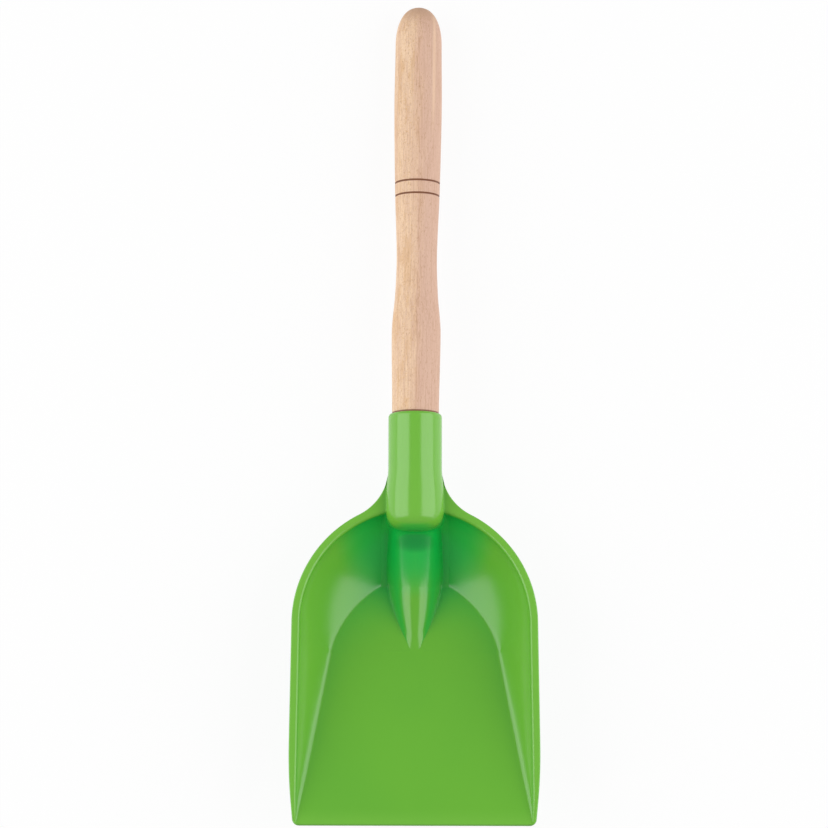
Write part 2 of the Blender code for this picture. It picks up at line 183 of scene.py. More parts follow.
class Finish:
    """A material round one Principled shader, with its nodes made by type, settings and values."""

    def __init__(self, name, **constants):
        self.material = bpy.data.materials.new(name)
        self.material.use_nodes = True
        self.tree = self.material.node_tree
        self.shader = self.tree.nodes["Principled BSDF"]
        for key, value in constants.items():
            socket = key.replace("_", " ").title().replace("Ior", "IOR")
            self.shader.inputs[socket].default_value = value

    def node(self, kind, settings=(), output=0, **values):
        """A node of this type. In socket names an underscore is a space, and _6 is socket number 6."""
        made = self.tree.nodes.new("ShaderNode" + kind)
        for key, value in dict(settings).items():
            setattr(made, key, value)
        for key, value in values.items():
            entry = made.inputs[int(key[1:]) if key[1:].isdigit() else key.replace("_", " ")]
            if isinstance(value, Field):
                self.tree.links.new(value.socket, entry)
            else:
                entry.default_value = value
        return Field(made.outputs[output])

    def place(self):
        """Where a point lies on the object, in metres."""
        return self.node("TexCoord", output="Object")

    def mix(self, share, first, second):
        """From the first colour to the second one as share goes from 0 to 1."""
        first = (*first, 1.0) if isinstance(first, tuple) else first
        second = (*second, 1.0) if isinstance(second, tuple) else second
        return self.node("Mix", {"data_type": "RGBA"}, output=2, _0=share, _6=first, _7=second)

    def step(self, value, low, high):
        """0 below low and 1 above high, eased between them."""
        eased = {"interpolation_type": "SMOOTHSTEP"}
        return self.node("MapRange", eased, Value=value, From_Min=low, From_Max=high)

    def feed(self, **fields):
        """Links fields to the sockets of the shader."""
        for key, field in fields.items():
            self.tree.links.new(field.socket, self.shader.inputs[key.replace("_", " ").title()])


# The blade: one injection moulding. A flat floor falls towards the back between drafted walls that run
# into a round shoulder, with a thin flat rim round it. The rim narrows into the web beside the socket,
# whose closed nose stands in the scoop on a ridge that runs down to the floor.
SHOULDER_Y = 0.1000
SHOULDER_RADIUS = 0.0612
WIDEST_Y = 0.0255
SIDE_FLARE = 0.0011
FRONT_DRAW_IN = 0.0024
WIDEST_ROUNDING = 0.0016
CORNER_RADIUS = 0.0034
NECK_RADIUS = 0.0265
RIM_WIDTH = 0.0042
CORNER_RIM = 0.0012
FLANGE_SHARE = 0.3
WALL_DRAFT = math.radians(32.0)
WALL_ROUNDNESS = 0.52
FOLD_LEAD = 0.0120
REAR_WALL_RUN = 0.0298
SOCKET_RADIUS = 0.01326
SOCKET_OVAL = 0.012
BORE_RADIUS = 0.0120
TUBE_LENGTH = 0.02666
SOCKET_LENGTH = 0.0586
SOCKET_FLARE = 0.074
FLARE_RUN = 0.0150
MOUTH_ROUNDING = 0.0010
MOUTH_DRAW = 0.0018
NOSE_LENGTH = 0.0110
NOSE_BLUNTNESS = 2.6
BORE_END_WALL = 0.0020
RIDGE_LENGTH = 0.0547
RIDGE_TAPER = 0.0470
RIDGE_FULLNESS = 0.9
RIDGE_PROUD = 0.0012
RIDGE_LAP = 0.0018
RIDGE_SINK = 0.0015
RIDGE_FILLET = 0.0026
SKIRT_DRAFT = math.radians(3.0)
SWEEP_RUN = 0.0260
SWEEP_RISE = 0.0068
SWEEP_POWER = 1.35
SWEEP_END = 1.2
CREST_BLUNTNESS = 2.0
REAR_BLUNTNESS = 3.0

# Roundings of the moulding's edges, as radii
EDGE_ROUND = 0.00055
LIP_ROUND = 0.0013
REAR_LIP_ROUND = 0.0020
FOLD_ROUND = 0.0011
WEB_FILLET = 0.0002
FOOT_FILLET = 0.0032
FOOT_AHEAD = 0.0050
FILLET_TURN = math.radians(75.0)
FILLET_DEPTH = 0.008
BURIED = 0.0007
LEAST = 1e-7

# Largest and smallest shares that keep neighbouring forms of the moulding apart
LIP_OF_DEPTH = 0.4
LIP_OF_RIM = 0.5
FOLD_OF_WALL = 0.2
FILLET_OF_ROOM = 0.7
GUIDE_LEAST = 0.25
RIDGE_LEAST = 0.35
RIDGE_MOST = 0.93
WEB_LEAST = 5e-5

# Points along each part of the surface, and the powers by which they crowd together
CORNER_POINTS = 9
SIDE_POINTS = 61
SHOULDER_POINTS = 57
NECK_POINTS = 29
RIM_POINTS = 13
ROUNDING_POINTS = 7
WALL_POINTS = 29
FLOOR_POINTS = 15
BESIDE_RIDGE_POINTS = 17
RIDGE_POINTS = 21
SKIRT_POINTS = 9
FILLET_POINTS = 10
WEB_POINTS = 7
LIP_POINTS = 9
TUBE_POINTS = 30
END_POINTS = 41
AROUND_SOCKET = 160
RIM_CROWDING = 1.8
FLOOR_CROWDING = 1.7
STRIP_CROWDING = 1.5
HIDDEN_SHARES = (0.0, 0.4, 0.8, 0.95)
FOLD_TRIES = 40

OPENING_RADIUS = SHOULDER_RADIUS - RIM_WIDTH
NECK_X = SOCKET_RADIUS + NECK_RADIUS
NECK_Y = SHOULDER_Y + math.sqrt((SHOULDER_RADIUS + NECK_RADIUS) ** 2 - NECK_X**2)
MOUTH_Y = NECK_Y + TUBE_LENGTH
NOSE_Y = MOUTH_Y - SOCKET_LENGTH
NOSE_BACK_Y = NOSE_Y + NOSE_LENGTH
RIDGE_TIP_Y = NOSE_Y - RIDGE_LENGTH
RIDGE_HALF = SOCKET_RADIUS + RIDGE_PROUD
BESIDE_RIDGE = RIDGE_HALF + RIDGE_FILLET
RIDGE_TOP_Z = RIDGE_LAP - SOCKET_RADIUS
FOLD_TURN_Y = SHOULDER_Y - FOLD_LEAD
FOLD_REAR_Y = SHOULDER_Y + OPENING_RADIUS - REAR_WALL_RUN


def smooth_min(a, b, reach):
    """The smaller of a and b, with the corner between them rounded over reach."""
    near = np.clip(1 - np.abs(a - b) / np.maximum(reach, LEAST), 0, 1)
    return np.minimum(a, b) - reach / 4 * near**2


def floor_height(y):
    """The flat floor falls from the front edge towards the back."""
    return -math.tan(FLOOR_ANGLE) * y


def outer_half(y):
    """Half the outer width of the sides: widest near the front, drawn in towards both ends."""
    widest = SHOULDER_RADIUS + SIDE_FLARE
    back = widest - SIDE_FLARE / (SHOULDER_Y - WIDEST_Y) * (y - WIDEST_Y)
    front = widest + FRONT_DRAW_IN / WIDEST_Y * (y - WIDEST_Y)
    return smooth_min(back, front, WIDEST_ROUNDING)


def opening_half(y):
    """Half the width of the opening between the straight sides."""
    return OPENING_RADIUS + SIDE_FLARE / (SHOULDER_Y - WIDEST_Y) * (SHOULDER_Y - y)


def fold_half(y):
    """Half the width of the floor, where the drafted walls meet it."""
    return opening_half(y) + math.tan(WALL_DRAFT) * floor_height(y)


def plan_columns():
    """Plan of the right half in columns, from the front corner round the shoulder to the socket.

    Gives the outline drawn in by the edge's rounding, its outward normal, the opening's edge, the
    fold of the floor, and the direction out of the scoop. The outline is straight sides, a circle
    about (0, SHOULDER_Y) and a hollow circle that leads into the socket's side.
    """
    corner = np.linspace(0, math.pi / 2, CORNER_POINTS)
    corner_middle = outer_half(CORNER_RADIUS) - CORNER_RADIUS
    corner_x = corner_middle + (CORNER_RADIUS - EDGE_ROUND) * np.sin(corner)
    corner_y = CORNER_RADIUS - (CORNER_RADIUS - EDGE_ROUND) * np.cos(corner)
    side_y = np.linspace(CORNER_RADIUS, SHOULDER_Y, SIDE_POINTS)[1:]
    straight_x = np.concatenate([corner_x, outer_half(side_y) - EDGE_ROUND])
    straight_y = np.concatenate([corner_y, side_y])
    corner_normal = np.column_stack([np.sin(corner), -np.cos(corner)])

    neck_turn = math.atan2(NECK_Y - SHOULDER_Y, NECK_X)
    opening_turn = math.acos(BESIDE_RIDGE / OPENING_RADIUS)
    fold_turn = opening_turn
    for _ in range(FOLD_TRIES):
        along = FOLD_TURN_Y + (FOLD_REAR_Y - FOLD_TURN_Y) * math.sin(fold_turn)
        fold_turn = math.acos(BESIDE_RIDGE / fold_half(along))
    shoulder = np.linspace(0, neck_turn, SHOULDER_POINTS)[1:]
    neck = np.linspace(0, 1, NECK_POINTS)[1:]
    neck_angle = math.pi + neck_turn * (1 - neck)
    neck_way = np.column_stack([np.cos(neck_angle), np.sin(neck_angle)])
    turn = np.concatenate([shoulder, neck_turn + (opening_turn - neck_turn) * neck])
    round_the_back = np.column_stack([np.cos(turn), np.sin(turn)])
    straight_out = np.column_stack([np.ones(len(straight_y)), np.zeros(len(straight_y))])

    outline = np.concatenate([
        np.column_stack([straight_x, straight_y]),
        (0, SHOULDER_Y) + (SHOULDER_RADIUS - EDGE_ROUND) * round_the_back[:len(shoulder)],
        (NECK_X, NECK_Y) + (NECK_RADIUS + EDGE_ROUND) * neck_way,
    ])
    side_normal = straight_out[len(corner):]
    normal = np.concatenate([corner_normal, side_normal, round_the_back[:len(shoulder)], -neck_way])
    open_x = np.minimum(opening_half(straight_y), straight_x + EDGE_ROUND - CORNER_RIM)
    opening = np.concatenate([
        np.column_stack([open_x, straight_y]),
        (0, SHOULDER_Y) + OPENING_RADIUS * round_the_back,
    ])
    front_y = straight_y - EDGE_ROUND
    front_y = EDGE_ROUND + front_y * (FOLD_TURN_Y - EDGE_ROUND) / (SHOULDER_Y - EDGE_ROUND)
    front_x = open_x + math.tan(WALL_DRAFT) * floor_height(front_y)
    turned_in = turn * fold_turn / opening_turn
    rear_y = FOLD_TURN_Y + (FOLD_REAR_Y - FOLD_TURN_Y) * np.sin(turned_in)
    rear = np.column_stack([fold_half(rear_y) * np.cos(turned_in), rear_y])
    fold = np.concatenate([np.column_stack([front_x, front_y]), rear])
    return outline, normal, opening, fold, np.concatenate([straight_out, round_the_back])


def wall_height(share, top, depth, lip):
    """Height of the wall at a share of the way from the opening's edge to the fold.

    The wall drops by a quarter round of radius lip, then as a mix of a straight slope and a quarter
    ellipse. Past the fold it goes on along the slope.
    """
    cove = np.sqrt(1 - (1 - np.clip(share, 0, 1)) ** 2)
    down = (1 - WALL_ROUNDNESS) * share + WALL_ROUNDNESS * cove
    return top - lip + (depth - top + lip) * down


def ridge_height(x, y, inset):
    """Top of the ridge: an arch that narrows by a sine and sinks from the nose into the floor.

    Its crest is a straight slope that sweeps up to the nose by a power of the way along the sweep.
    There the arch is a blunter superellipse than along the rest of the ridge.
    """
    rise = RIDGE_TOP_Z - floor_height(RIDGE_TIP_Y)
    crest = floor_height(RIDGE_TIP_Y) + rise * (y - RIDGE_TIP_Y) / RIDGE_LENGTH
    sweep = np.clip((y - NOSE_Y) / SWEEP_RUN + 1, 0, SWEEP_END)
    crest = crest + SWEEP_RISE * sweep**SWEEP_POWER
    half = np.maximum(ridge_half(y) - inset, LEAST)
    share = np.abs(x) / half
    blunt = CREST_BLUNTNESS + (REAR_BLUNTNESS - CREST_BLUNTNESS) * np.minimum(sweep, 1)
    arch = 1 - (1 - np.minimum(share, 1) ** blunt) ** (1 / blunt) + np.maximum(share - 1, 0)
    height = crest - np.maximum(crest - floor_height(y) + RIDGE_SINK, LEAST) * arch
    return np.where(half > LEAST, height, floor_height(y) - RIDGE_HALF) - inset


def ridge_half(y):
    """Half the ridge's width: a power of a sine, from nothing below the floor to the socket's width."""
    hidden = RIDGE_FILLET * RIDGE_LENGTH / (RIDGE_TOP_Z - floor_height(NOSE_Y))
    along = np.clip((y - RIDGE_TIP_Y + hidden) / RIDGE_TAPER, 0, 1)
    return RIDGE_HALF * np.sin(math.pi / 2 * along) ** RIDGE_FULLNESS


def flare(y):
    """How much wider than high the socket is: a little all along, and easing out beside the web."""
    share = np.clip((NECK_Y - y) / FLARE_RUN, 0, 1)
    return 1 + SOCKET_OVAL + SOCKET_FLARE * share**2 * (3 - 2 * share)


def lifted(points, inset):
    """Points of the plain scoop, raised where the ridge is higher."""
    x, y, z = points[..., 0], points[..., 1], points[..., 2]
    return np.stack([x, y, -smooth_min(-z, -ridge_height(x, y, inset), RIDGE_FILLET)], axis=-1)


def scoop_patches(plan, opening, fold, top, inset, lip, nose_scale, buried):
    """The surface of the right half in three grids: side, middle strip and the patch round the nose.

    A column of the side runs from the outline over the flat rim, the opening's edge, the wall and
    the fold to a guide line beside the ridge. The strip goes from that line to the middle. Behind it
    the last patch follows the outline of the socket's nose: a flat part hidden in the socket, the
    drafted skirt below the nose, a fillet at its foot, and the scoop or the web round it.
    """
    outline, normal, _, _, outward = plan
    floor_drop = inset / math.cos(FLOOR_ANGLE)
    depth = floor_height(fold[:, 1]) - floor_drop
    run = np.linalg.norm(fold - opening, axis=1)
    lip = np.minimum(lip, LIP_OF_DEPTH * np.maximum(top - depth, 0))
    lip = np.minimum(lip, LIP_OF_RIM * np.linalg.norm(outline - opening, axis=1))[:, None]
    near = np.minimum(FOLD_ROUND, FOLD_OF_WALL * run)

    rings = []
    flat_end = opening + outward * lip
    for share in 1 - np.linspace(1, 0, RIM_POINTS) ** RIM_CROWDING:
        plan_place = outline + (flat_end - outline) * share
        rings.append(np.column_stack([plan_place, np.full(len(outline), top)]))
    flat_rows = len(rings)
    for angle in np.linspace(0, math.pi / 2, ROUNDING_POINTS)[1:]:
        plan_place = opening + outward * lip * (1 - math.sin(angle))
        rings.append(np.column_stack([plan_place, top - lip * (1 - math.cos(angle))]))
    steps = 1 - np.cos(np.linspace(0, math.pi / 2, WALL_POINTS))[1:, None]
    shares = [step * (1 - near / np.maximum(run, LEAST)) for step in steps]
    shares += [1 - near / np.maximum(run, LEAST) / 2, np.ones(len(run))]
    reach = near * (1 - WALL_ROUNDNESS) / math.tan(WALL_DRAFT)
    for share in shares:
        plan_place = opening + (fold - opening) * share[:, None]
        wall = wall_height(share, top, depth, lip[:, 0])
        flat = floor_height(plan_place[:, 1]) - floor_drop
        height = np.minimum(-smooth_min(-wall, -flat, reach), top)
        rings.append(np.column_stack([plan_place, height]))
    fold_row = len(rings) - 1

    corner_x, corner_y = fold[-1]
    along = np.clip((fold[:, 1] - RIDGE_TIP_Y) / (corner_y - RIDGE_TIP_Y), GUIDE_LEAST, 1)
    guide = corner_x * np.sqrt(along)
    inner = fold[:, 0] - guide
    for share in np.linspace(0, 1, FLOOR_POINTS)[1:] ** FLOOR_CROWDING:
        first = np.minimum(near, inner / 2)
        far = first / 2 + (inner - first / 2) * share
        plan_x = fold[:, 0] - np.where(inner > LEAST, far, 0)
        past = 1 + far / np.maximum(run, LEAST)
        wall = wall_height(past, top, depth, lip[:, 0])
        flat = floor_height(fold[:, 1]) - floor_drop
        height = np.minimum(-smooth_min(-wall, -flat, reach), top)
        height = np.where(inner > LEAST, height, rings[fold_row][:, 2])
        rings.append(np.column_stack([plan_x, fold[:, 1], height]))
    side = np.array(rings)

    def plain(x, y):
        """Height of the plain scoop beside the middle, where the rear wall bows back to the opening."""
        open_x, open_y = opening[-1]
        radius = math.hypot(open_x, open_y - SHOULDER_Y)
        behind = np.sqrt(radius**2 - np.minimum(x, open_x) ** 2) - math.sqrt(radius**2 - open_x**2)
        length = open_y - corner_y + behind
        share = 1 - (y - corner_y) / length
        wall = wall_height(share, top, depth[-1], lip[-1, 0])
        flat = floor_height(y) - floor_drop
        back = lip[-1, 0] - np.clip(-share * length, 0, lip[-1, 0])
        edge = top - lip[-1, 0] + np.sqrt(lip[-1, 0] ** 2 - back**2)
        return np.where(share < 0, edge, -smooth_min(-wall, -flat, reach[-1]))

    def base(x, y):
        """The plain scoop with the ridge on it."""
        height = plain(x, y)
        return -smooth_min(-height, -ridge_height(x, y, inset), RIDGE_FILLET)

    side = lifted(side, inset)
    split = flat_rows - 1
    border = np.concatenate([side[-1], side[fold_row - 1:split - 1:-1, -1]])
    split_y = border[-1, 1]
    bend = np.concatenate([np.zeros(len(fold)), np.clip((border[len(fold):, 1] - corner_y), 0, None)])
    bend = (bend / (split_y - corner_y))[:, None]
    border_x, border_y = border[:, :1], border[:, 1:2]
    half = np.clip(ridge_half(border_y) - inset, RIDGE_LEAST * border_x, RIDGE_MOST * border_x)
    crowded = np.linspace(0, 1, BESIDE_RIDGE_POINTS) ** (STRIP_CROWDING + STRIP_CROWDING * bend)
    outer_part = 1 - (1 - half / border_x) * crowded
    inner_part = half / border_x * np.cos(np.linspace(0, math.pi / 2, RIDGE_POINTS)[1:])
    across = np.concatenate([outer_part, inner_part], axis=1)
    across[:, -1] = 0
    strip_x = border_x * across
    ahead = (1 - np.clip(across, 0, 1) ** NOSE_BLUNTNESS) ** (1 / NOSE_BLUNTNESS)
    front_y = NOSE_BACK_Y - (NOSE_LENGTH * nose_scale + FOOT_AHEAD)
    strip_y = border_y - bend * (split_y - front_y) * ahead
    strip_z = base(strip_x, strip_y)
    strip_z[:, 0] = border[:, 2]
    strip = np.stack([strip_x, strip_y, strip_z], axis=-1)

    web = side[0:split + 1, -1]
    straight_radius = SOCKET_RADIUS * nose_scale
    socket_x = np.minimum(straight_radius * flare(web[:, 1]), web[:, 0] - WEB_LEAST)
    feet = np.concatenate([
        np.column_stack([socket_x, web[:, 1]]),
        np.column_stack([
            straight_radius * flare(NOSE_BACK_Y) * across[-1, 1:],
            NOSE_BACK_Y - NOSE_LENGTH * nose_scale * ahead[-1, 1:],
        ]),
    ])
    ends = np.concatenate([web[:, :2], strip[-1, 1:, :2]])
    centres = np.column_stack([np.zeros(len(feet)), np.maximum(feet[:, 1], NOSE_BACK_Y)])
    way = ends - feet
    room = np.linalg.norm(way, axis=1)
    way = way / np.maximum(room, LEAST)[:, None]
    foot_base = base(feet[:, 0], feet[:, 1])
    deep = np.clip((top - foot_base) / FILLET_DEPTH, 0, 1)
    fillet = WEB_FILLET + (FOOT_FILLET - WEB_FILLET) * deep
    fillet = np.minimum(fillet, FILLET_OF_ROOM * room)
    arc_top = foot_base + fillet * (1 - math.cos(FILLET_TURN))
    buried_z = np.maximum(buried, arc_top)
    columns = []
    skirt_top = feet + way * (-buried_z * math.tan(SKIRT_DRAFT))[:, None]
    for share in HIDDEN_SHARES:
        plan_place = centres + (skirt_top - centres) * share
        columns.append(np.column_stack([plan_place, buried_z]))
    for share in np.linspace(0, 1, SKIRT_POINTS):
        height = buried_z + (arc_top - buried_z) * share
        plan_place = feet + way * (-height * math.tan(SKIRT_DRAFT))[:, None]
        columns.append(np.column_stack([plan_place, height]))
    start = -arc_top * math.tan(SKIRT_DRAFT)
    for angle in np.linspace(FILLET_TURN, 0, FILLET_POINTS)[1:]:
        far = start + fillet * (math.sin(FILLET_TURN) - math.sin(angle))
        plan_place = feet + way * far[:, None]
        height = base(plan_place[:, 0], plan_place[:, 1]) + fillet * (1 - math.cos(angle))
        columns.append(np.column_stack([plan_place, height]))
    fillet_end = columns[-1][:, :2]
    for share in np.linspace(0, 1, WEB_POINTS)[1:]:
        plan_place = fillet_end + (ends - fillet_end) * share
        columns.append(np.column_stack([plan_place, base(plan_place[:, 0], plan_place[:, 1])]))
    nose = np.array(columns)
    nose[-1, :split + 1] = web
    nose[-1, split:] = strip[-1]
    border_line = np.concatenate([strip[0, ::-1], side[-2::-1, 0], side[0, 1:], nose[::-1, 0][1:]])
    return [side, strip, nose], border_line


plan = plan_columns()
outline, normal, opening, fold, outward = plan
rim = np.linalg.norm(outline + normal * EDGE_ROUND - opening, axis=1)
wall_out = np.minimum(WALL, rim * (1 - FLANGE_SHARE))
wall_foot = math.atan((1 - WALL_ROUNDNESS) / math.tan(WALL_DRAFT))
under_opening = opening + outward * wall_out[:, None]
under_fold = fold + outward * (wall_out * math.tan(wall_foot / 2))[:, None]
round_the_rear = np.clip((opening[:, 1] - SHOULDER_Y) / OPENING_RADIUS, 0, 1)
lip_round = LIP_ROUND + (REAR_LIP_ROUND - LIP_ROUND) * round_the_rear**2
upper, upper_border = scoop_patches(plan, opening, fold, 0.0, 0.0, lip_round, 1.0, BURIED)
lower, lower_border = scoop_patches(
    plan, under_opening, under_fold, -WALL, WALL, EDGE_ROUND, 1 - WALL / SOCKET_RADIUS, -WALL
)


# The rounded edge of the rim goes round the outline between the two surfaces
out_of_edge = np.tile([0.0, -1.0], (len(upper_border), 1))
first = len(upper[1][0]) + len(upper[0]) - 2
out_of_edge[first:first + len(normal)] = normal
out_of_edge[first + len(normal):] = (0.0, 1.0)
edge_rows = []
for border_line, sign in ((upper_border, -1), (lower_border, 1)):
    for angle in np.linspace(0, math.pi / 2, ROUNDING_POINTS)[::-sign]:
        away = out_of_edge * EDGE_ROUND * math.sin(angle)
        height = border_line[:, 2] + sign * EDGE_ROUND * (1 - math.cos(angle))
        edge_rows.append(np.column_stack([border_line[:, :2] + away, height]))
half_grids = upper + lower + [np.array(edge_rows)]
blade = surface("moulded_blade", half_grids + [grid * (-1, 1, 1) for grid in half_grids])


def quarter(start, end, bluntness):
    """Profile of a rounded end from its tip on the axis at start to full radius at end.

    Start and end are (place, radius). The place and the radius follow a superellipse.
    """
    share = np.sin(np.linspace(0, math.pi / 2, END_POINTS))
    back = 1 - (1 - share**bluntness) ** (1 / bluntness)
    return start[0] + (end[0] - start[0]) * back, start[1] + (end[1] - start[1]) * share


def socket_profile(front_y, back_y, radius, draw, rounding):
    """Profile of the socket or of its bore, from the blunt nose to the flat back end.

    The lip is a quarter of an ellipse, as long as draw and as high as rounding.
    """
    nose_y, nose_radius = quarter((front_y, 0), (front_y + NOSE_LENGTH, radius), NOSE_BLUNTNESS)
    angle = np.linspace(math.pi / 2, 0, LIP_POINTS)
    lip_y = back_y - draw * (1 - np.sin(angle))
    lip_radius = radius - rounding * (1 - np.cos(angle))
    straight_y = np.linspace(nose_y[-1], lip_y[-1], TUBE_POINTS)[1:-1]
    straight = np.full(len(straight_y), radius)
    places = np.concatenate([nose_y, straight_y, lip_y[::-1], [back_y]])
    return places, np.concatenate([nose_radius, straight, lip_radius[::-1], [0.0]])


tube = socket_profile(NOSE_Y, MOUTH_Y, SOCKET_RADIUS, MOUTH_DRAW, MOUTH_ROUNDING)
socket = turned("socket", *tube, AROUND_SOCKET)
round_places = np.array([corner.co for corner in socket.data.vertices])
round_places[:, 0] *= flare(round_places[:, 1])
socket.data.vertices.foreach_set("co", round_places.ravel())
hole = socket_profile(NOSE_Y + BORE_END_WALL, MOUTH_Y + MOUTH_DRAW, BORE_RADIUS, 0.0, 0.0)
bore = turned("bore", *hole, AROUND_SOCKET)
combine(blade, socket, "UNION")
combine(blade, bore, "DIFFERENCE")
settle(blade, sharp_from=40)


def linear(red, green, blue):
    """A colour given as 8-bit sRGB, as the linear colour that a shader reads, by the sRGB standard."""
    shares = np.array([red, green, blue]) / 255
    curve = ((shares + 0.055) / 1.055) ** 2.4
    return tuple(np.where(shares > 0.04045, curve, shares / 12.92).tolist())


def drawn_place(finish):
    """Where a point lies in the drawing frame, from where it lies on the object."""
    backwards = {"vector_type": "TEXTURE"}
    place = finish.place()
    return finish.node("Mapping", backwards, Vector=place, Location=SHIFT, Rotation=(-TIP, 0, 0))


# Bright green polypropylene, dyed through: glossy, with the faint cloudiness of a moulded skin. Shade
# is painted into its colour as deeper green in the hollows and round the nose and ridge, and light as
# lighter green on the rim and the steep walls. It is slightly duller below the nose, and painted shade
# darkens it along the front edge.
plastic = Finish("green_plastic", roughness=0.25, ior=1.49, specular_ior_level=0.7)
GREEN = linear(105, 181, 50)
CLOUDY_GREEN = linear(98, 176, 50)
# Painted light and shade: the next four colours stand for lit rim and walls, hollows, a shadow and a
# shaded edge.
PAINTED_LIGHT_GREEN = linear(117, 188, 63)
PAINTED_SHADE_GREEN = linear(0, 182, 74)
SHADED_GREEN = linear(0, 142, 58)
FRONT_EDGE_SHADE_GREEN = linear(92, 142, 60)

# Limits between which each mask of the plastic eases, and the share of its colour
CLOUD_LIMITS, CLOUD_SHARE = (0.35, 0.65), 0.6
OPEN_LIMITS = (0.28, 0.90)
RIM_LIMITS, RIM_SHARE = (-0.0025, 0.0005), 0.8
SUNK_LIMITS = (0.0005, 0.0040)
UPWARD_LIMITS = (0.0, 0.2)
STEEP_LIMITS, STEEP_SHARE = (0.50, 0.85), 0.9
FLANK_LIMITS, FLANK_SHARE = (0.40, 0.80), 0.9
BESIDE_NOSE_SHARE = 0.9
DOWN_RIDGE_SHARE = 0.8
BEFORE_NOSE_SHARE = 0.9
NOSE_FRONT_SHARE = 0.7
FRONT_EDGE_SHADE_LIMITS, FRONT_EDGE_SHADE_SHARE = (0.0003, 0.0012), 0.6
FINE_HEIGHT = 0.15
LEAST_ROUGHNESS = 0.16
SKIN_ROUGHNESS = 0.06
HOLLOW_ROUGHNESS = 0.06
here = drawn_place(plastic)
cloudy = plastic.node("TexNoise", Vector=here, Scale=14.0, Detail=2.0, Roughness=0.5)
fine = plastic.node("TexNoise", Vector=here, Scale=2400.0, Detail=2.0, Roughness=0.6)
skin = plastic.node("TexNoise", Vector=here, Scale=160.0, Detail=4.0, Roughness=0.55)
open_share = plastic.node("AmbientOcclusion", {"samples": 16}, output=1, Distance=0.050)
aside = abs(plastic.node("SeparateXYZ", output=0, Vector=here))
along_blade = plastic.node("SeparateXYZ", output=1, Vector=here)
above_rim = plastic.node("SeparateXYZ", output=2, Vector=here)


def pooled(centre_x, centre_y, reach_x, reach_y):
    """1 in the middle of an oval on each side of the blade's middle line, easing to 0 at its edge."""
    off = ((aside - centre_x) / reach_x) ** 2 + ((along_blade - centre_y) / reach_y) ** 2
    return 1 - plastic.step(off, 0.0, 1.0)


# Ovals where shade is painted in as deeper green, beside, before and in front of the nose and on the
# ridge; the last one only dulls the skin.
beside_nose = pooled(centre_x=0.0165, centre_y=0.1500, reach_x=0.0260, reach_y=0.0360)
before_nose = pooled(centre_x=0.0, centre_y=0.1420, reach_x=0.0115, reach_y=0.0062)
nose_front = pooled(centre_x=0.0, centre_y=NOSE_Y, reach_x=0.0140, reach_y=0.0045)
down_ridge = pooled(centre_x=0.0, centre_y=0.1400, reach_x=0.0190, reach_y=0.0270)
across_ridge = pooled(centre_x=0.0, centre_y=0.1240, reach_x=0.0210, reach_y=0.0480)
hollow_dull = pooled(centre_x=0.0, centre_y=0.1420, reach_x=0.0200, reach_y=0.0320)
surface_way = plastic.node("TexCoord", output="Normal")
facing = plastic.node("SeparateXYZ", output=2, Vector=surface_way)
sideways = abs(plastic.node("SeparateXYZ", output=0, Vector=surface_way))
sunk = plastic.step(-1 * above_rim, *SUNK_LIMITS) * plastic.step(facing, *UPWARD_LIMITS)
steep = 1 - plastic.step(facing, *STEEP_LIMITS)
flank = plastic.step(sideways, *FLANK_LIMITS)
front_edge_shade = 1 - plastic.step(along_blade, *FRONT_EDGE_SHADE_LIMITS)
shade = plastic.mix(plastic.step(cloudy, *CLOUD_LIMITS) * CLOUD_SHARE, GREEN, CLOUDY_GREEN)
# Painted shade: where ambient occlusion finds the surface hemmed in, it turns deep green.
shade = plastic.mix(plastic.step(open_share, *OPEN_LIMITS), PAINTED_SHADE_GREEN, shade)
# Painted light: the rim and the surface just below it are lightened.
shade = plastic.mix(plastic.step(above_rim, *RIM_LIMITS) * RIM_SHARE, shade, PAINTED_LIGHT_GREEN)
# Painted light: the steep walls down in the scoop are lightened.
shade = plastic.mix(steep * sunk * STEEP_SHARE, shade, PAINTED_LIGHT_GREEN)
# Painted shade: the ridge's flanks and the hollows beside the nose and down the ridge turn deep green.
shade = plastic.mix(across_ridge * flank * sunk * FLANK_SHARE, shade, PAINTED_SHADE_GREEN)
shade = plastic.mix(beside_nose * sunk * BESIDE_NOSE_SHARE, shade, PAINTED_SHADE_GREEN)
shade = plastic.mix(down_ridge * sunk * DOWN_RIDGE_SHARE, shade, PAINTED_SHADE_GREEN)
# Painted shadow: the gap just ahead of the nose is darkened.
shade = plastic.mix(before_nose * sunk * BEFORE_NOSE_SHARE, shade, SHADED_GREEN)
# Painted shade: the steep front of the nose turns deep green.
shade = plastic.mix(nose_front * steep * NOSE_FRONT_SHARE, shade, PAINTED_SHADE_GREEN)
# Painted shade: a thin darker line along the rounded front edge.
shade = plastic.mix(front_edge_shade * FRONT_EDGE_SHADE_SHARE, shade, FRONT_EDGE_SHADE_GREEN)
dull = skin * SKIN_ROUGHNESS + hollow_dull * sunk * HOLLOW_ROUGHNESS + LEAST_ROUGHNESS
orange_peel = plastic.node("Bump", Strength=0.05, Distance=0.0004, Height=skin + fine * FINE_HEIGHT)
plastic.feed(base_color=shade, roughness=dull, normal=orange_peel)
blade.data.materials.append(plastic.material)
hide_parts("blade")
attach(blade, "root")


